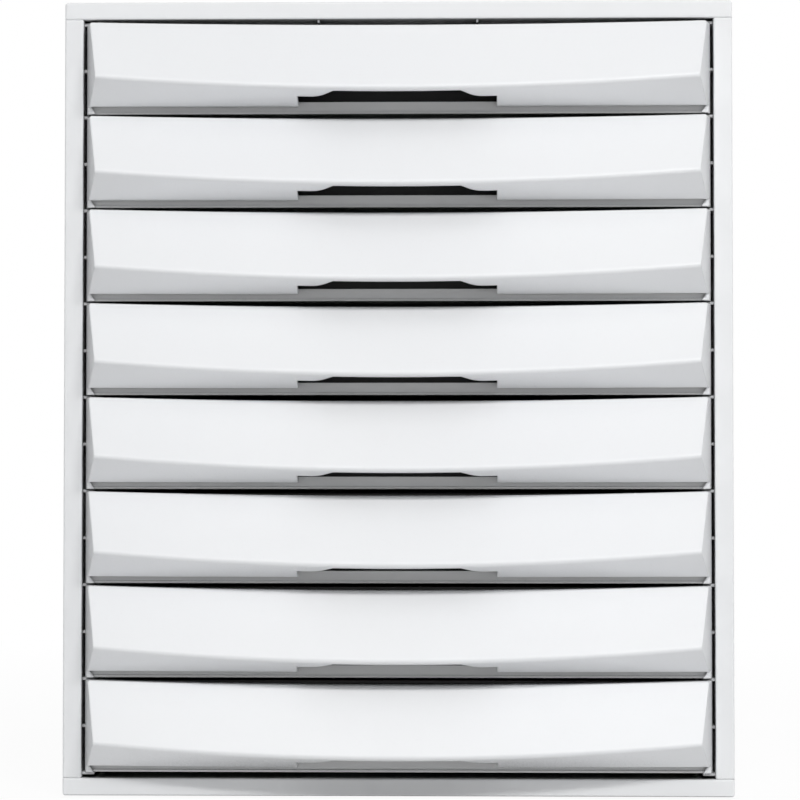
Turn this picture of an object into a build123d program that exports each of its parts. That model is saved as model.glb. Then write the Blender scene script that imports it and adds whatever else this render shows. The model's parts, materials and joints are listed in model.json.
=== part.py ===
from build123d import *
import os
from math import atan, cos

# Filing drawer unit: a moulded case with eight shallow document drawers that slide on ribs.
# Millimetres, X to the right, Y to the back, Z up.
# Everything is drawn with the front edges of the case at Y = 0 and the table at Z = 0.
# It is centred front to back as it is written, so the origin is the middle of the footprint.

# Case
case_width = 280.0
case_depth = 355.0
side_thickness = 7.8
plate_thickness = 7.25
corner_radius = 1.2
front_radius = 0.7
seam_chamfer = 0.4
tongue_thickness = 3.0
tongue_height = 3.0
tongue_setback = 12.0
seat_clearance = 0.2
ceiling_rib_offset = 33.4
ceiling_rib_thickness = 0.8
ceiling_rib_drop = 1.2
ceiling_rib_setback = 2.0

# Back panel, let into a rebate, and its screws
back_thickness = 3.0
back_inset = 2.0
rebate_width = 5.0
screw_diameter = 2.4
screw_length = 9.0
screw_head_diameter = 4.4
screw_head_height = 1.4
screw_head_chamfer = 0.6
screw_hole_clearance = 0.15
side_screw_spacing = 130.0
plate_screw_spacing = 150.0

# Anti-slip pads
pad_diameter = 14.0
pad_thickness = 2.0
pad_proud = 0.6
pad_setback = 20.0

# Drawer bays and the ribs on the side panels that carry the drawers
drawer_count = 8
drawer_pitch = 39.3
top_gap = 1.7
bottom_gap = 2.7
rib_reach = 5.0
rib_thickness = 1.2
rib_drop = 0.9
rib_rear_gap = 12.0
closing_gap = 0.5
stop_block_reach = 3.0
stop_block_length = 6.0
stop_block_height = 8.0
stop_block_setback = 64.0

# Drawer tray
tray_wall = 1.8
tray_side_gap = 0.8
tray_rear_gap = 3.0
tray_front_setback = 10.0
runner_thickness = 1.6
runner_side_gap = 1.0
rim_gap = 0.5
stop_lug_length = 4.0
lip_height = 5.1
lip_end_gap = 0.3
bead_height = 0.95
bead_proud = 0.5

# Drawer front, whose reaches are measured forwards from the front edges of the case
# and whose heights are measured up from the underside of the tray.
# An end size is the one at the full width of the front.
front_gap = 0.9
front_side_gap = 1.2
front_wall = 1.8
skirt_reach = 1.8
top_dip = 1.9
top_end_reach = 3.5
top_middle_reach = 5.6
shelf_drop = 0.3
crease_end_reach = 16.6
crease_end_height = 14.0
crease_middle_reach = 20.9
crease_middle_height = 7.5
lower_edge_end_reach = 3.6
lower_edge_end_height = 3.0
lower_edge_middle_reach = 4.8
lower_edge_middle_height = 2.7
lower_edge_thickness = 1.2
side_draft = 0.32
crease_radius = 1.5
brow_radius = 0.6
shoulder_radius = 1.3
cheek_thickness = 0.9
gusset_width = 2.0
gusset_gap = 0.2
gusset_end_reach = 0.7
profile_place_shares = (-1, -0.5, 0, 0.5, 1)

# Finger cut-out under the drawer front
cutout_width = 82.8
cutout_shoulder_width = 72.0
cutout_crown_width = 52.4
cutout_shoulder_reach = 12.8
cutout_crown_reach = 18.2
cutout_crown_slope = 0.75

# Webs inside the drawer front and the hooks that clip through the tray's front wall
web_offset = 88.0
web_thickness = 1.8
web_gap = 0.3
hook_height = 3.0
hook_barb = 1.1
hook_length = 2.4
hook_clearance = 0.3
hook_level_shares = (0.28, 0.72)

# One overrun serves all the cuts
overrun = 1.0

# Places that follow from the sizes
case_half = case_width / 2
bay_half = case_half - side_thickness
front_half = bay_half - front_side_gap
front_height = drawer_pitch - front_gap
shelf_level = front_height - top_dip - shelf_drop
top_seat = shelf_level - front_wall
floor_level = pad_proud + plate_thickness
first_level = floor_level + bottom_gap
ceiling_level = first_level + (drawer_count - 1) * drawer_pitch + front_height + top_gap
back_rear = case_depth - back_inset
back_front = back_rear - back_thickness
lip_rear = bead_proud + tray_wall
rib_front = lip_rear + closing_gap
rib_rear = back_front - rib_rear_gap
rib_spacing = drawer_pitch / 2
rib_tip = bay_half - rib_reach
tray_half = rib_tip - tray_side_gap
tray_inner_half = tray_half - tray_wall
tray_rear = back_front - tray_rear_gap
runner_half = bay_half - runner_side_gap
runner_level = rib_spacing - rib_drop + rib_thickness / 2
rim_level = drawer_pitch - rib_drop - rib_thickness / 2 - rim_gap


def block(x_span, y_span, z_span):
    # A rectangular block between the low and high ends of three spans
    size = [high - low for low, high in (x_span, y_span, z_span)]
    corner = (x_span[0], y_span[0], z_span[0])
    return Pos(*corner) * Box(*size, align=(Align.MIN, Align.MIN, Align.MIN))


def both_sides(half):
    return (-half, half)


def mirrored(shape):
    # A shape and its mirror image in the middle plane of the unit
    return shape + mirror(shape, Plane.YZ)


def drawer_level(number):
    # Height of the underside of a drawer's tray, counted from the top drawer
    return first_level + (drawer_count - number) * drawer_pitch


def screw_places():
    # Centres of the back panel's screws, in the middle of the rebate's ledge
    side_x = bay_half + rebate_width / 2
    plate_z = (floor_level - rebate_width / 2, ceiling_level + rebate_width / 2)
    middle_z = (floor_level + ceiling_level) / 2
    side_z = (middle_z - side_screw_spacing, middle_z, middle_z + side_screw_spacing)
    sides = [(x, z) for x in both_sides(side_x) for z in side_z]
    plates = [(x, z) for x in both_sides(plate_screw_spacing / 2) for z in plate_z]
    return sides + plates


def screw_holes(radius, rear, depth):
    # Round holes for all the screws, drilled forwards from the given depth
    drill = Rot(90, 0, 0) * Cylinder(radius, depth, align=(Align.CENTER, Align.CENTER, Align.MIN))
    return Compound([Pos(x, rear, z) * drill for x, z in screw_places()])


def pilot_holes():
    radius = screw_diameter / 2 + screw_hole_clearance
    return screw_holes(radius, back_front + overrun, screw_length + overrun)


def rebate_cut():
    # Space for the back panel, shared by the four panels that frame it
    half = bay_half + rebate_width
    levels = (floor_level - rebate_width, ceiling_level + rebate_width)
    return block(both_sides(half), (back_front, case_depth + overrun), levels)


def tongue(level_span, clearance):
    # The tongue along the top or bottom edge of the right side panel, or its groove
    centre = bay_half + side_thickness / 2
    half = tongue_thickness / 2 + clearance
    depth_span = (tongue_setback - clearance, back_front - tongue_setback + clearance)
    return block((centre - half, centre + half), depth_span, level_span)


def plate(low, outer):
    # A full-width panel with rounded outer corners, the last or first in height, and a soft front
    body = block(both_sides(case_half), (0, case_depth), (low, low + plate_thickness))
    corners = body.edges().filter_by(Axis.Y).group_by(Axis.Z)[outer]
    body = fillet(corners, corner_radius)
    return fillet(body.faces().sort_by(Axis.Y)[0].edges(), front_radius)


def ceiling_rib():
    # A low stiffening rib along the underside of the top panel
    low = ceiling_rib_offset - ceiling_rib_thickness / 2
    return block((low, low + ceiling_rib_thickness), (ceiling_rib_setback, rib_rear),
                 (ceiling_level - ceiling_rib_drop, ceiling_level))


def make_top_panel():
    body = plate(ceiling_level, -1)
    groove = tongue((ceiling_level - overrun, ceiling_level + tongue_height + seat_clearance), seat_clearance)
    body += mirrored(ceiling_rib())
    return body - mirrored(groove) - rebate_cut() - pilot_holes()


def pad_places():
    x = case_half - pad_setback
    return [(side, y) for side in both_sides(x) for y in (pad_setback, case_depth - pad_setback)]


def make_bottom_panel():
    body = plate(pad_proud, 0)
    groove = tongue((floor_level - tongue_height - seat_clearance, floor_level + overrun), seat_clearance)
    pocket = Cylinder(pad_diameter / 2 + seat_clearance, pad_thickness,
                      align=(Align.CENTER, Align.CENTER, Align.MIN))
    for x, y in pad_places():
        body -= Pos(x, y, 0) * pocket
    return body - mirrored(groove) - rebate_cut() - pilot_holes()


def make_pads():
    pad = Cylinder(pad_diameter / 2, pad_thickness, align=(Align.CENTER, Align.CENTER, Align.MIN))
    return Compound([Pos(x, y, 0) * pad for x, y in pad_places()])


def side_ribs():
    # Ribs at every half pitch: the odd ones carry the runners, the others stop a drawer from tipping
    low = first_level - rib_drop - rib_thickness / 2
    rib = block((rib_tip, bay_half), (rib_front, rib_rear), (low, low + rib_thickness))
    return [Pos(0, 0, step * rib_spacing) * rib for step in range(2 * drawer_count + 1)]


def stop_blocks():
    # Blocks that catch the lugs at the rear of the trays when the drawers are pulled right out
    low = first_level + (runner_level + runner_thickness + rim_level - stop_block_height) / 2
    y_span = (stop_block_setback, stop_block_setback + stop_block_length)
    stop = block((bay_half - stop_block_reach, bay_half), y_span, (low, low + stop_block_height))
    return [Pos(0, 0, step * drawer_pitch) * stop for step in range(drawer_count)]


def make_right_side_panel():
    body = block((bay_half, case_half), (0, case_depth), (floor_level, ceiling_level))
    body = fillet(body.edges().filter_by(Axis.Z).group_by(Axis.Y)[0], front_radius)
    ends = body.faces().sort_by(Axis.Z)
    rims = [edge for end in (ends[0], ends[-1]) for edge in end.edges()]
    inside = bay_half + seam_chamfer
    shown = [edge for edge in rims if edge.center().X > inside and edge.center().Y < case_depth - seam_chamfer]
    body = chamfer(shown, seam_chamfer)
    body += tongue((floor_level - tongue_height, floor_level), 0)
    body += tongue((ceiling_level, ceiling_level + tongue_height), 0)
    body = body + side_ribs() + stop_blocks()
    return body - rebate_cut() - pilot_holes()


def make_back_panel():
    half = bay_half + rebate_width - seat_clearance
    levels = (floor_level - rebate_width + seat_clearance, ceiling_level + rebate_width - seat_clearance)
    body = block(both_sides(half), (back_front, back_rear), levels)
    holes = screw_holes(screw_diameter / 2 + screw_hole_clearance, back_rear + overrun,
                        back_thickness + 2 * overrun)
    return body - holes


def make_screws():
    # Pan-head screws, axis along Y, head on the back panel
    head = Cylinder(screw_head_diameter / 2, screw_head_height, align=(Align.CENTER, Align.CENTER, Align.MIN))
    head = chamfer(head.edges().sort_by(Axis.Z)[-1], screw_head_chamfer)
    shank = Cylinder(screw_diameter / 2, screw_length, align=(Align.CENTER, Align.CENTER, Align.MAX))
    screw = Rot(-90, 0, 0) * (head + shank)
    return Compound([Pos(x, back_rear, z) * screw for x, z in screw_places()])


def make_tray():
    # A channel with runner and rim flanges, closed by front and rear walls, with a low lip in front
    channel = Polyline(
        (0, 0), (tray_half, 0),
        (tray_half, runner_level), (runner_half, runner_level),
        (runner_half, runner_level + runner_thickness), (tray_half, runner_level + runner_thickness),
        (tray_half, rim_level - runner_thickness), (runner_half, rim_level - runner_thickness),
        (runner_half, rim_level), (tray_inner_half, rim_level),
        (tray_inner_half, tray_wall), (0, tray_wall), close=True)
    porch = Polyline(
        (0, 0), (tray_half, 0), (tray_half, top_seat), (tray_inner_half, top_seat),
        (tray_inner_half, tray_wall), (0, tray_wall), close=True)
    body = lengthwise(channel, tray_front_setback, tray_rear)
    body += lengthwise(porch, bead_proud, tray_front_setback)
    wall_sides = both_sides(tray_inner_half)
    for low in (tray_front_setback, tray_rear - tray_wall):
        body += block(wall_sides, (low, low + tray_wall), (tray_wall, rim_level))
    lip_half = side_at(0, cheek_thickness) - lip_end_gap
    body += block(both_sides(lip_half), (bead_proud, lip_rear), (0, lip_height))
    body += block(both_sides(lip_half), (0, bead_proud), (0, bead_height))
    lug = block((tray_half, runner_half), (tray_rear - stop_lug_length, tray_rear),
                (runner_level + runner_thickness, rim_level - runner_thickness))
    body += mirrored(lug)
    return body - hooks(hook_clearance)


def lengthwise(outline, front, rear):
    # The right half of a section, mirrored and drawn out from front to rear
    section = make_face(Plane.XZ * outline)
    half = Pos(0, rear, 0) * extrude(section, rear - front, dir=(0, -1, 0))
    return mirrored(half)


def hooks(clearance):
    # Hooks behind the webs, or with a clearance the slots that they pass through
    shapes = []
    half = web_thickness / 2 + clearance
    for share in hook_level_shares:
        low = lip_height + share * (top_seat - lip_height) - hook_height / 2
        rear = tray_front_setback + tray_wall
        shaft = block((web_offset - half, web_offset + half), (tray_front_setback, rear + hook_length),
                      (low - clearance, low + hook_height + clearance))
        shapes.append(shaft)
        if clearance == 0:
            barb = block((web_offset - half, web_offset + half), (rear + hook_clearance, rear + hook_length),
                         (low + hook_height, low + hook_height + hook_barb))
            shapes.append(barb)
    right = Part() + shapes
    return mirrored(right)


def side_at(reach, wall):
    # Half the width of the drafted front at a reach, less the wall of its hollow
    return front_half - wall / cos(atan(side_draft)) - side_draft * (lip_rear + reach)


def between_sides(wall, reach_span, z_span):
    # A block between the drafted sides of the front, or between the insides of its walls
    rear, front = reach_span
    rear_x, front_x = side_at(rear, wall), side_at(front, wall)
    plan = Polyline((-front_x, -front), (front_x, -front), (rear_x, -rear), (-rear_x, -rear), close=True)
    return Pos(0, 0, z_span[0]) * extrude(make_face(plan), z_span[1] - z_span[0])


def bowed(end, middle, x):
    # A size that follows a parabola from the middle of the front to its ends
    return middle + (end - middle) * (x / front_half) ** 2


def front_corners(x):
    # Reach and height of the profile's corners at a place along the front: the rear of its top,
    # the head and the crease of the leaning face, and the lower edge
    top = bowed(front_height, front_height - top_dip, x)
    head = Vector(bowed(top_end_reach, top_middle_reach, x), top)
    crease = Vector(bowed(crease_end_reach, crease_middle_reach, x),
                    bowed(crease_end_height, crease_middle_height, x))
    low = Vector(bowed(lower_edge_end_reach, lower_edge_middle_reach, x),
                 bowed(lower_edge_end_height, lower_edge_middle_height, x))
    return Vector(-lip_rear, top), head, crease, low


def inset(before, corner, after):
    # Moves a corner inwards so that both of its sides keep the wall's thickness
    first = (corner - before).normalized()
    second = (after - corner).normalized()
    normals = Vector(first.Y, -first.X), Vector(second.Y, -second.X)
    return corner + (normals[0] + normals[1]) * (front_wall / (1 + normals[0].dot(normals[1])))


def hollow_crease(x):
    rear, head, crease, low = front_corners(x)
    return inset(head, crease, low)


def upright(x, corners):
    # An outline of reaches and heights, stood up across the front at a place along it
    return Face(Wire.make_polygon([Vector(x, -corner.X, corner.Y) for corner in corners]))


def outer_profile(x):
    rear, head, crease, low = front_corners(x)
    face = upright(x, [rear, head, crease, low, Vector(rear.X, low.Y)])
    for corner, radius in ((crease, crease_radius), (head, brow_radius)):
        vertex = face.vertices().sort_by_distance((x, -corner.X, corner.Y))[0]
        face = face.fillet_2d(radius, [vertex])
    return face


def hollow_profile(x):
    rear, head, crease, low = front_corners(x)
    behind = rear.X - overrun
    below = low.Y - overrun
    foot = Vector(skirt_reach, low.Y + lower_edge_thickness)
    return upright(x, [Vector(behind, rear.Y - front_wall), inset(rear, head, crease), hollow_crease(x),
                       foot, Vector(skirt_reach, below), Vector(behind, below)])


def lengthened(profile):
    # A profile lofted along the front through its changing outlines, to a little past both ends
    half = front_half + overrun
    return loft([profile(share * half) for share in profile_place_shares])


def shoulders():
    # The front's limits between its drafted sides, with the two top corners rounded
    limits = between_sides(0, (-lip_rear, crease_middle_reach), (0, front_height))
    rims = limits.edges().group_by(Axis.Z)[-1]
    corners = [edge for edge in rims if abs(edge.center().X) > tray_half]
    return fillet(corners, shoulder_radius)


def finger_cutout(height):
    # The opening for the fingers, seen from below: straight sides and a sweep out to a deeper middle
    side = cutout_width / 2
    shoulder = cutout_shoulder_width / 2
    crown_half = cutout_crown_width / 2
    near, far = -cutout_shoulder_reach, -cutout_crown_reach
    sweep = Spline((shoulder, near), (crown_half, far), tangents=((-1, 0), (-1, -cutout_crown_slope)))
    outline = Polyline((0, overrun), (side, overrun), (side, near), (shoulder, near)) + sweep
    outline += Polyline((crown_half, far), (0, far), (0, overrun))
    return mirrored(extrude(make_face(outline), height))


def lower_corner():
    # The right end of the front below its lower edge: a gusset with a bevelled face
    inside = side_at(skirt_reach, cheek_thickness)
    tip = inside - gusset_width
    outline = Polyline((front_half, lower_edge_end_height), (front_half, 0), (tip, 0),
                       (inside, lower_edge_end_height), close=True)
    gusset = extrude(make_face(Plane.XZ * outline), skirt_reach, dir=(0, -1, 0))
    plan = Polyline((tip, -gusset_gap), (tip, -skirt_reach), (front_half, -gusset_end_reach),
                    (front_half, -gusset_gap), close=True)
    return gusset & extrude(make_face(plan), lower_edge_end_height)


def make_front():
    outer = lengthened(outer_profile)
    reaches = (-lip_rear - overrun, crease_middle_reach)
    heights = (-overrun, front_height + overrun)
    lip_room = (-overrun, lip_height + web_gap)
    body = outer - (lengthened(hollow_profile) & between_sides(front_wall, reaches, heights))
    body -= finger_cutout(hollow_crease(0).Y)
    body += between_sides(0, (-lip_rear, gusset_gap), (0, lip_height)) + mirrored(lower_corner())
    body -= between_sides(cheek_thickness, (-lip_rear - overrun, gusset_gap), lip_room)
    body &= shoulders()
    body += block(both_sides(tray_half), (0, tray_front_setback), (top_seat, shelf_level))

    web_x = (web_offset - web_thickness / 2, web_offset + web_thickness / 2)
    web = block(web_x, (-skirt_reach, tray_front_setback), (lip_height + web_gap, shelf_level))
    middle_of_wall = Pos(0, front_wall / 2, 0) * outer
    web += block(web_x, (-crease_middle_reach, -skirt_reach), (0, shelf_level)) & middle_of_wall
    return body + mirrored(web) + hooks(0)


def write(name, shape):
    export_step(Pos(0, centring, 0) * shape, f"parts/{name}.step")


os.makedirs("parts", exist_ok=True)
tray = make_tray()
front = make_front()
right_side_panel = make_right_side_panel()
centring = -(case_depth + front.bounding_box().min.Y) / 2
write("top_panel", make_top_panel())
write("bottom_panel", make_bottom_panel())
write("right_side_panel", right_side_panel)
write("left_side_panel", mirror(right_side_panel, Plane.YZ))
write("back_panel", make_back_panel())
write("back_panel_screws", make_screws())
write("anti_slip_pads", make_pads())
for number in range(1, drawer_count + 1):
    place = Pos(0, 0, drawer_level(number))
    write(f"drawer_tray_{number}", place * tray)
    write(f"drawer_front_{number}", place * front)
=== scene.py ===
import bpy
import bmesh
import json
import math
from mathutils import Matrix, Vector


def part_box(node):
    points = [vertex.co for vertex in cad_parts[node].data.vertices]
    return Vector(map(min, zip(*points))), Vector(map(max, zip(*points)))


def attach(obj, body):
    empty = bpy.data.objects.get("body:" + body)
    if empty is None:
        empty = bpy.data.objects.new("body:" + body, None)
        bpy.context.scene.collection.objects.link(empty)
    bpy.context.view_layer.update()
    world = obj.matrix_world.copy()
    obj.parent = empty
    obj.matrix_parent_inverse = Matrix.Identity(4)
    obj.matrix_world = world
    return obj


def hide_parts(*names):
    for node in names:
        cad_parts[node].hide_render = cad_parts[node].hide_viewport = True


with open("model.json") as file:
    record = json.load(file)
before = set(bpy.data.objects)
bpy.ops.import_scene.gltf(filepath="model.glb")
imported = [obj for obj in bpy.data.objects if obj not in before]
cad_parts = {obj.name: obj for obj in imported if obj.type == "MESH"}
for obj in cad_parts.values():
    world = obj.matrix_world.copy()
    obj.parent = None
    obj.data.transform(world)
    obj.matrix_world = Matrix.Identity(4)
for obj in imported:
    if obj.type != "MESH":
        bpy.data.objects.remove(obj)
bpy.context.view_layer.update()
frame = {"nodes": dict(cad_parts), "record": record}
nodes = frame["nodes"]
slots = {entry["node"]: entry["material_slot"] for entry in frame["record"]["subparts"]}
scene = bpy.context.scene
rightAngle = 90.0


# small helpers for node trees

mixInputs = (0, 6, 7)  # a colour mix: its factor and its two colours
mixResult = 2
noiseSpan = (0.3, 0.7)  # a noise seldom leaves this
noiseCore = (0.35, 0.65)


def startMaterial(name):
    material = bpy.data.materials.new(name)
    material.use_nodes = True
    tree = material.node_tree
    tree.nodes.clear()
    output = tree.nodes.new("ShaderNodeOutputMaterial")
    shader = tree.nodes.new("ShaderNodeBsdfPrincipled")
    tree.links.new(shader.outputs["BSDF"], output.inputs["Surface"])
    return material, tree, shader


def addNode(tree, kind, **settings):
    node = tree.nodes.new(kind)
    for key, value in settings.items():
        setattr(node, key, value)
    return node


def feed(tree, socket, source):
    # links an output, or sets a colour or a number
    if hasattr(source, "is_output"):
        tree.links.new(source, socket)
    elif isinstance(source, (tuple, list)):
        socket.default_value = (*source, 1.0)
    else:
        socket.default_value = source


def noise(tree, place, scale, detail):
    node = addNode(tree, "ShaderNodeTexNoise")
    node.inputs["Scale"].default_value = scale
    node.inputs["Detail"].default_value = detail
    tree.links.new(place, node.inputs["Vector"])
    return node.outputs["Fac"]


def remap(tree, value, fromSpan, toSpan=(0.0, 1.0)):
    node = addNode(tree, "ShaderNodeMapRange")
    for limit, amount in zip(("From Min", "From Max", "To Min", "To Max"), (*fromSpan, *toSpan)):
        node.inputs[limit].default_value = amount
    tree.links.new(value, node.inputs["Value"])
    return node.outputs["Result"]


def blendColours(tree, factor, first, second):
    node = addNode(tree, "ShaderNodeMix", data_type="RGBA")
    for place, source in zip(mixInputs, (factor, first, second)):
        feed(tree, node.inputs[place], source)
    return node.outputs[mixResult]


def calc(tree, operation, *sources):
    node = addNode(tree, "ShaderNodeMath", operation=operation)
    for socket, source in zip(node.inputs, sources):
        feed(tree, socket, source)
    return node.outputs[0]


def bump(tree, height, strength, distance, normal=None):
    node = addNode(tree, "ShaderNodeBump")
    node.inputs["Strength"].default_value = strength
    node.inputs["Distance"].default_value = distance
    tree.links.new(height, node.inputs["Height"])
    if normal is not None:
        tree.links.new(normal, node.inputs["Normal"])
    return node.outputs["Normal"]


def alongDepth(tree, vector):
    node = addNode(tree, "ShaderNodeSeparateXYZ")
    tree.links.new(vector, node.inputs[0])
    return node.outputs["Y"]


# moulded plastics: faint tone drift, fine grain, slow waviness, painted shade in crevices, soft
# edges

frontLook = {
    "colour": (0.86, 0.87, 0.885), "colourDrift": (0.84, 0.85, 0.87), "driftScale": 7.0,
    "creviceShadeReach": 0.036, "creviceShadeSpan": (0.18, 0.06), "creviceShadeColour": (0.012, 0.012, 0.012),
    "grainScale": 2600.0, "grainStrength": 0.06, "grainDepth": 0.0002,
    "waveScale": 55.0, "waveStrength": 0.05, "waveDepth": 0.001,
    "roughness": (0.27, 0.35), "edgeRadius": 0.0011, "ior": 1.5, "specular": 0.6,
}
caseLook = {
    "colour": (0.86, 0.868, 0.88), "colourDrift": (0.84, 0.85, 0.865), "driftScale": 5.0,
    "creviceShadeReach": 0.012, "creviceShadeSpan": (0.30, 0.04), "creviceShadeColour": (0.02, 0.02, 0.02),
    "grainScale": 1900.0, "grainStrength": 0.12, "grainDepth": 0.0003,
    "waveScale": 40.0, "waveStrength": 0.05, "waveDepth": 0.001,
    "roughness": (0.42, 0.52), "edgeRadius": 0.0006, "ior": 1.5, "specular": 0.4,
}
trayLook = {
    "colour": (0.74, 0.745, 0.75), "colourDrift": (0.71, 0.715, 0.72), "driftScale": 6.0,
    "creviceShadeReach": 0.010, "creviceShadeSpan": (0.25, 0.03), "creviceShadeColour": (0.02, 0.02, 0.02),
    "grainScale": 2200.0, "grainStrength": 0.08, "grainDepth": 0.0002,
    "waveScale": 45.0, "waveStrength": 0.05, "waveDepth": 0.001,
    "roughness": (0.36, 0.46), "edgeRadius": 0.0004, "ior": 1.5, "specular": 0.4,
    # the hollow colour is painted shade on the tray wall behind the finger hollow
    "hollowShadeColour": (0.012, 0.012, 0.012), "hollowSetback": 0.0100, "hollowReach": 0.0006,
    "hollowFacing": -0.7,
}
backLook = {
    "colour": (0.72, 0.73, 0.745), "colourDrift": (0.69, 0.70, 0.72), "driftScale": 9.0,
    "creviceShadeReach": 0.010, "creviceShadeSpan": (0.25, 0.03), "creviceShadeColour": (0.02, 0.02, 0.02),
    "grainScale": 1300.0, "grainStrength": 0.2, "grainDepth": 0.0003,
    "waveScale": 30.0, "waveStrength": 0.06, "waveDepth": 0.001,
    "roughness": (0.5, 0.62), "edgeRadius": 0.0003, "ior": 1.5, "specular": 0.35,
}
padLook = {
    "colour": (0.045, 0.045, 0.048), "colourDrift": (0.035, 0.035, 0.037), "driftScale": 120.0,
    "creviceShadeReach": 0.004, "creviceShadeSpan": (0.2, 0.02), "creviceShadeColour": (0.01, 0.01, 0.01),
    "grainScale": 1500.0, "grainStrength": 0.4, "grainDepth": 0.0004,
    "waveScale": 200.0, "waveStrength": 0.1, "waveDepth": 0.0005,
    "roughness": (0.7, 0.85), "edgeRadius": 0.0004, "ior": 1.5, "specular": 0.3,
}
plasticCraft = {
    "driftDetail": 3.0, "grainDetail": 2.0, "waveDetail": 1.0,
    "creviceShadeSamples": 8, "edgeSamples": 6,
}


def hollowShadeMask(tree, place, look):
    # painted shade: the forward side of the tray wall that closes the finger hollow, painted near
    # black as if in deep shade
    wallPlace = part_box("drawer_tray_1")[0][1] + look["hollowSetback"]
    near = calc(tree, "COMPARE", alongDepth(tree, place), wallPlace, look["hollowReach"])
    normal = addNode(tree, "ShaderNodeNewGeometry").outputs["True Normal"]
    forward = calc(tree, "LESS_THAN", alongDepth(tree, normal), look["hollowFacing"])
    return calc(tree, "MULTIPLY", near, forward)


def mouldedPlastic(name, look):
    craft = plasticCraft
    material, tree, shader = startMaterial(name)
    place = addNode(tree, "ShaderNodeTexCoord").outputs["Object"]
    drift = remap(tree, noise(tree, place, look["driftScale"], craft["driftDetail"]), noiseSpan)
    tone = blendColours(tree, drift, look["colour"], look["colourDrift"])
    # painted shade: the tone is darkened towards the crevice colour where ambient occlusion finds
    # nearby surfaces, in gaps, creases and recesses
    occlusion = addNode(tree, "ShaderNodeAmbientOcclusion", samples=craft["creviceShadeSamples"])
    occlusion.inputs["Distance"].default_value = look["creviceShadeReach"]
    creviceShade = remap(tree, occlusion.outputs["AO"], look["creviceShadeSpan"])
    tone = blendColours(tree, creviceShade, tone, look["creviceShadeColour"])
    # painted shade: the tray wall behind the finger hollow gets the near-black hollow colour
    if "hollowShadeColour" in look:
        tone = blendColours(tree, hollowShadeMask(tree, place, look), tone, look["hollowShadeColour"])
    tree.links.new(tone, shader.inputs["Base Color"])
    grain = noise(tree, place, look["grainScale"], craft["grainDetail"])
    wave = noise(tree, place, look["waveScale"], craft["waveDetail"])
    roughness = remap(tree, grain, noiseSpan, look["roughness"])
    tree.links.new(roughness, shader.inputs["Roughness"])
    edge = addNode(tree, "ShaderNodeBevel", samples=craft["edgeSamples"])
    edge.inputs["Radius"].default_value = look["edgeRadius"]
    waved = bump(tree, wave, look["waveStrength"], look["waveDepth"], edge.outputs["Normal"])
    grained = bump(tree, grain, look["grainStrength"], look["grainDepth"], waved)
    tree.links.new(grained, shader.inputs["Normal"])
    shader.inputs["IOR"].default_value = look["ior"]
    shader.inputs["Specular IOR Level"].default_value = look["specular"]
    return material


# plated steel: cloudy tone and shine, fine scratches

screwLook = {
    "colour": (0.62, 0.61, 0.58), "colourDrift": (0.50, 0.50, 0.49), "roughness": (0.28, 0.42),
    "cloudScale": 900.0, "cloudDetail": 3.0, "scratchScale": 4200.0, "scratchDetail": 2.0,
    "scratchStrength": 0.15, "scratchDepth": 0.0002, "metallic": 1.0,
}


def platedSteel(name, look):
    material, tree, shader = startMaterial(name)
    place = addNode(tree, "ShaderNodeTexCoord").outputs["Object"]
    cloud = noise(tree, place, look["cloudScale"], look["cloudDetail"])
    drift = remap(tree, cloud, noiseCore)
    tone = blendColours(tree, drift, look["colour"], look["colourDrift"])
    tree.links.new(tone, shader.inputs["Base Color"])
    shine = remap(tree, cloud, noiseSpan, look["roughness"])
    tree.links.new(shine, shader.inputs["Roughness"])
    scratch = noise(tree, place, look["scratchScale"], look["scratchDetail"])
    scratched = bump(tree, scratch, look["scratchStrength"], look["scratchDepth"])
    tree.links.new(scratched, shader.inputs["Normal"])
    shader.inputs["Metallic"].default_value = look["metallic"]
    return material


finishes = {
    "front_plastic": mouldedPlastic("satinFrontPlastic", frontLook),
    "case_plastic": mouldedPlastic("grainedCasePlastic", caseLook),
    "tray_plastic": mouldedPlastic("trayPlastic", trayLook),
    "back_plastic": mouldedPlastic("backSheetPlastic", backLook),
    "pad_rubber": mouldedPlastic("padRubber", padLook),
    "screw_steel": platedSteel("platedScrewSteel", screwLook),
}
for node, slotName in slots.items():
    surface = nodes[node].data
    surface.materials.clear()
    surface.materials.append(finishes[slotName])
print("finishes laid on:", len(finishes))


# screws with a cross recess and pads with rings on the tread, in place of the plain ones

screwShape = {
    "headRadius": 0.0022, "headHeight": 0.0014, "rimHeight": 0.0007,
    "shankRadius": 0.0012, "shankLength": 0.009, "tipLength": 0.002, "tipRadius": 0.0003,
    "crossReach": 0.0013, "crossWidth": 0.00055, "crossDepth": 0.0009, "crossTaper": 0.55,
    "cutterRise": 1.5,  # the cutter's top, in head heights
    "domeSteps": 7, "turnSteps": 40, "turnBetween": 37.0,
    "sortReach": 2.5,  # one screw's points, in head radii
}
padShape = {
    "ringCount": 3, "ringDepth": 0.0002, "ringWidth": 0.0007, "edgeRound": 0.0004,
    "turnSteps": 64, "sortReach": 0.03,
}
weldGap = 1e-7
sharpAngle = 32.0


def lathe(name, profile, steps):
    # turns (radius, height) points about Z
    shape = bmesh.new()
    line = [shape.verts.new((radius, 0.0, height)) for radius, height in profile]
    edges = [shape.edges.new(pair) for pair in zip(line, line[1:])]
    bmesh.ops.spin(shape, geom=line + edges, cent=(0, 0, 0), axis=(0, 0, 1),
                   angle=math.tau, steps=steps)
    bmesh.ops.remove_doubles(shape, verts=shape.verts, dist=weldGap)
    bmesh.ops.recalc_face_normals(shape, faces=shape.faces)
    mesh = bpy.data.meshes.new(name)
    shape.to_mesh(mesh)
    shape.free()
    return mesh


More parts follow.
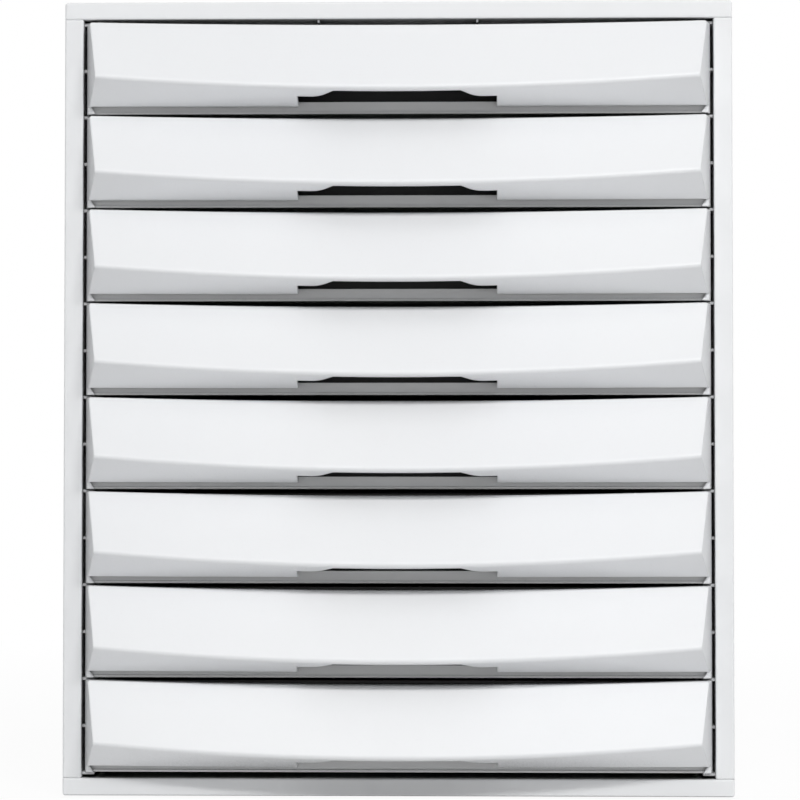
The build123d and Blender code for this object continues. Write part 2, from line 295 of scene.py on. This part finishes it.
def clusters(node, axes, reach):
    # the middles of a node's separate solids, seen along the axis that is left out
    spots = []
    for vertex in nodes[node].data.vertices:
        point = Vector([vertex.co[axis] for axis in axes])
        near = next((spot for spot in spots if (spot[0] - point).length < reach), None)
        if near is None:
            spots.append([point])
        else:
            near.append(point)
    middles = []
    for spot in spots:
        low = Vector([min(point[axis] for point in spot) for axis in range(len(axes))])
        high = Vector([max(point[axis] for point in spot) for axis in range(len(axes))])
        middles.append((low + high) / 2)
    return middles


def wedge(name, shape, across):
    # one bar of the cross recess, narrower at its bottom
    reach, width, taper = shape["crossReach"], shape["crossWidth"], shape["crossTaper"]
    half = Vector((reach, width / 2)) if across else Vector((width / 2, reach))
    top = shape["headHeight"] * shape["cutterRise"]
    bottom = shape["headHeight"] - shape["crossDepth"]
    corners = [(-1, -1), (1, -1), (1, 1), (-1, 1)]
    points = [(x * half.x, y * half.y, top) for x, y in corners]
    points += [(x * half.x * taper, y * half.y * taper, bottom) for x, y in corners]
    faces = [(0, 1, 2, 3), (7, 6, 5, 4)]
    faces += [(k, k + 4, (k + 1) % 4 + 4, (k + 1) % 4) for k in range(4)]
    mesh = bpy.data.meshes.new(name)
    mesh.from_pydata(points, [], faces)
    return mesh


def turnScrew(shape):
    rim, top, radius = shape["rimHeight"], shape["headHeight"], shape["headRadius"]
    steps = shape["domeSteps"]
    angles = [math.pi / 2 * step / steps for step in range(steps + 1)]
    dome = [(radius * math.cos(angle), rim + (top - rim) * math.sin(angle)) for angle in angles]
    dome[-1] = (0.0, top)
    length, tip = shape["shankLength"], shape["tipLength"]
    shank = [(0.0, -length), (shape["tipRadius"], -length), (shape["shankRadius"], tip - length)]
    shank += [(shape["shankRadius"], 0.0), (radius, 0.0)]
    turned = lathe("screwBlank", shank + dome, shape["turnSteps"])
    blank = bpy.data.objects.new("screwBlank", turned)
    bars = [bpy.data.objects.new("crossBar", wedge("crossBar", shape, across))
            for across in (True, False)]
    for bar in bars:
        scene.collection.objects.link(bar)
        cut = blank.modifiers.new("cross", "BOOLEAN")
        cut.object = bar
        cut.solver = "EXACT"
    scene.collection.objects.link(blank)
    bpy.context.view_layer.update()
    cutBlank = blank.evaluated_get(bpy.context.evaluated_depsgraph_get())
    mesh = bpy.data.meshes.new_from_object(cutBlank)
    for spare in [blank] + bars:
        bpy.data.objects.remove(spare)
    return mesh


def turnPad(shape, radius, height):
    ring, width, edge = shape["ringDepth"], shape["ringWidth"], shape["edgeRound"]
    step = radius / (shape["ringCount"] + 1)
    profile = [(0.0, height), (radius, height), (radius, edge), (radius - edge, 0.0)]
    for count in range(shape["ringCount"], 0, -1):
        middle = count * step
        profile += [(middle + width, 0.0), (middle + width / 2, ring)]
        profile += [(middle - width / 2, ring), (middle - width, 0.0)]
    return lathe("padBlank", profile + [(0.0, 0.0)], shape["turnSteps"])


def setOut(name, node, body, single, moves):
    # copies of one turned mesh in one piece, in place of a node
    joined = bmesh.new()
    for move in moves:
        before = len(joined.verts)
        joined.from_mesh(single)
        joined.verts.ensure_lookup_table()
        bmesh.ops.transform(joined, matrix=move, verts=joined.verts[before:])
    mesh = bpy.data.meshes.new(name)
    joined.to_mesh(mesh)
    joined.free()
    bpy.data.meshes.remove(single)
    mesh.polygons.foreach_set("use_smooth", [True] * len(mesh.polygons))
    mesh.set_sharp_from_angle(angle=math.radians(sharpAngle))
    mesh.materials.append(finishes[slots[node]])
    piece = bpy.data.objects.new(name, mesh)
    scene.collection.objects.link(piece)
    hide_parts(node)
    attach(piece, body)


def layScrews(shape):
    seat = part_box("back_panel_screws")[1].y - shape["headHeight"]
    facingBack = Matrix.Rotation(math.radians(-rightAngle), 4, "X")
    spots = clusters("back_panel_screws", (0, 2), shape["headRadius"] * shape["sortReach"])
    moves = []
    for count, spot in enumerate(spots):
        turn = Matrix.Rotation(math.radians(count * shape["turnBetween"]), 4, "Z")
        moves.append(Matrix.Translation((spot[0], seat, spot[1])) @ facingBack @ turn)
    setOut("crossScrews", "back_panel_screws", "case", turnScrew(shape), moves)
    return len(moves)


def layPads(shape):
    low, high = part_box("anti_slip_pads")
    spots = clusters("anti_slip_pads", (0, 1), shape["sortReach"])
    radius = high.x - max(spot[0] for spot in spots)
    moves = [Matrix.Translation((spot[0], spot[1], low.z)) for spot in spots]
    single = turnPad(shape, radius, high.z - low.z)
    setOut("ringedPads", "anti_slip_pads", "case", single, moves)
    return len(moves)


print("screws set:", layScrews(screwShape), "pads set:", layPads(padShape))


# floor and light

stageLook = {
    "floorSize": 30.0, "floorGap": 0.0002, "floorColour": (0.93, 0.93, 0.93),
    "floorLift": (0.94, 1.0), "liftReach": (0.22, 0.75),  # white away from the unit
    "mottleScale": 60.0, "mottleDetail": 3.0, "mottleShade": 0.985,
    "floorRoughness": 0.8, "floorSpecular": 0.1,
    "skyLight": 0.15, "skyColour": (0.96, 0.98, 1.0), "whiteColour": (1.0, 1.0, 1.0),
}
unitAim = (0.0, -0.16, 0.17)
lampLooks = {
    "keyStrip": {"place": (0.0, -2.86, 2.44), "size": (2.1, 0.21), "watts": 29.0,
                 "colour": (1.0, 0.998, 0.99), "glossy": True},
    "glintStrip": {"place": (1.5, -2.86, 2.44), "size": (1.05, 0.21), "watts": 43.0,
                   "colour": (1.0, 0.998, 0.99), "glossy": True},
    "rightFill": {"place": (1.1, -0.9, 0.45), "size": (0.7, 0.9), "watts": 0.8,
                  "colour": (1.0, 1.0, 1.0), "glossy": True},
    "frontFill": {"place": (0.0, -1.8, 0.6), "size": (1.6, 0.8), "watts": 1.7,
                  "colour": (1.0, 1.0, 1.0), "glossy": True},
    "aheadFill": {"place": (0.0, -0.9, 1.2), "size": (1.0, 0.5), "watts": 1.2,
                  "colour": (1.0, 1.0, 1.0), "glossy": True},
    "topFill": {"place": (0.0, -0.35, 1.3), "size": (1.2, 0.8), "watts": 1.2,
                "colour": (1.0, 1.0, 1.0), "glossy": False},
    "rearLeft": {"place": (-0.9, 1.9, 0.8), "size": (0.8, 0.8), "watts": 13.0,
                 "colour": (1.0, 1.0, 1.0), "glossy": False},
    "rearRight": {"place": (0.9, 1.9, 0.8), "size": (0.8, 0.8), "watts": 13.0,
                  "colour": (1.0, 1.0, 1.0), "glossy": False},
}


def brightRays(tree):
    # one where a ray comes from the camera, a mirror-like surface or a clear one
    rays = addNode(tree, "ShaderNodeLightPath").outputs
    seen = calc(tree, "MAXIMUM", rays["Is Camera Ray"], rays["Is Glossy Ray"])
    return calc(tree, "MAXIMUM", seen, rays["Is Transmission Ray"])


def mixShaders(tree, factor, first, second):
    node = addNode(tree, "ShaderNodeMixShader")
    for socket, source in zip(node.inputs, (factor, first, second)):
        tree.links.new(source, socket)
    return node.outputs["Shader"]


def layFloor(look):
    half = look["floorSize"] / 2
    mesh = bpy.data.meshes.new("paleFloor")
    corners = [(-half, -half), (half, -half), (half, half), (-half, half)]
    mesh.from_pydata([(x, y, -look["floorGap"]) for x, y in corners], [], [(0, 1, 2, 3)])
    floor = bpy.data.objects.new("paleFloor", mesh)
    scene.collection.objects.link(floor)
    material, tree, shader = startMaterial("paleFloorPaint")
    place = addNode(tree, "ShaderNodeTexCoord").outputs["Object"]
    mottle = remap(tree, noise(tree, place, look["mottleScale"], look["mottleDetail"]), noiseCore)
    darker = [channel * look["mottleShade"] for channel in look["floorColour"]]
    tone = blendColours(tree, mottle, look["floorColour"], darker)
    tree.links.new(tone, shader.inputs["Base Color"])
    shader.inputs["Roughness"].default_value = look["floorRoughness"]
    shader.inputs["Specular IOR Level"].default_value = look["floorSpecular"]
    away = addNode(tree, "ShaderNodeVectorMath", operation="LENGTH")
    tree.links.new(place, away.inputs[0])
    fade = remap(tree, away.outputs["Value"], look["liftReach"], look["floorLift"])
    lift = calc(tree, "MULTIPLY", brightRays(tree), fade)
    glow = addNode(tree, "ShaderNodeEmission").outputs["Emission"]
    output = next(node for node in tree.nodes if node.type == "OUTPUT_MATERIAL")
    lifted = mixShaders(tree, lift, shader.outputs["BSDF"], glow)
    tree.links.new(lifted, output.inputs["Surface"])
    mesh.materials.append(material)


def lightSky(look):
    world = bpy.data.worlds.new("studioWorld")
    world.use_nodes = True
    tree = world.node_tree
    tree.nodes.clear()
    output = tree.nodes.new("ShaderNodeOutputWorld")
    soft = addNode(tree, "ShaderNodeBackground")
    feed(tree, soft.inputs["Color"], look["skyColour"])
    feed(tree, soft.inputs["Strength"], look["skyLight"])
    white = addNode(tree, "ShaderNodeBackground")
    feed(tree, white.inputs["Color"], look["whiteColour"])
    shades = [shade.outputs["Background"] for shade in (soft, white)]
    tree.links.new(mixShaders(tree, brightRays(tree), *shades), output.inputs["Surface"])
    scene.world = world


def hangLamp(name, look):
    lamp = bpy.data.lights.new(name, "AREA")
    lamp.shape = "RECTANGLE"
    lamp.size, lamp.size_y = look["size"]
    lamp.energy = look["watts"]
    lamp.color = look["colour"]
    holder = bpy.data.objects.new(name, lamp)
    holder.location = look["place"]
    direction = Vector(unitAim) - Vector(look["place"])
    holder.rotation_euler = direction.to_track_quat("-Z", "Y").to_euler()
    holder.visible_camera = False
    holder.visible_glossy = look["glossy"]
    scene.collection.objects.link(holder)


layFloor(stageLook)
lightSky(stageLook)
for name, look in lampLooks.items():
    hangLamp(name, look)
print("floor laid and lamps hung:", len(lampLooks))


# camera in front of the unit, a little right of its middle and looking slightly up

cameraLook = {
    "place": (0.0214, -1.1744, 0.1390), "tiltUp": 1.513, "turnLeft": 1.163,
    "lens": 108.47, "sensor": 36.0, "clipEnd": 60.0,
}


def placeCamera(look):
    camera = bpy.data.cameras.new("photoCamera")
    camera.lens = look["lens"]
    camera.sensor_width = look["sensor"]
    camera.clip_end = look["clipEnd"]
    holder = bpy.data.objects.new("photoCamera", camera)
    holder.location = look["place"]
    tilt, turn = math.radians(rightAngle + look["tiltUp"]), math.radians(look["turnLeft"])
    holder.rotation_euler = (tilt, 0.0, turn)
    scene.collection.objects.link(holder)
    scene.camera = holder


placeCamera(cameraLook)
scene.view_settings.view_transform = "Standard"
print("camera placed")
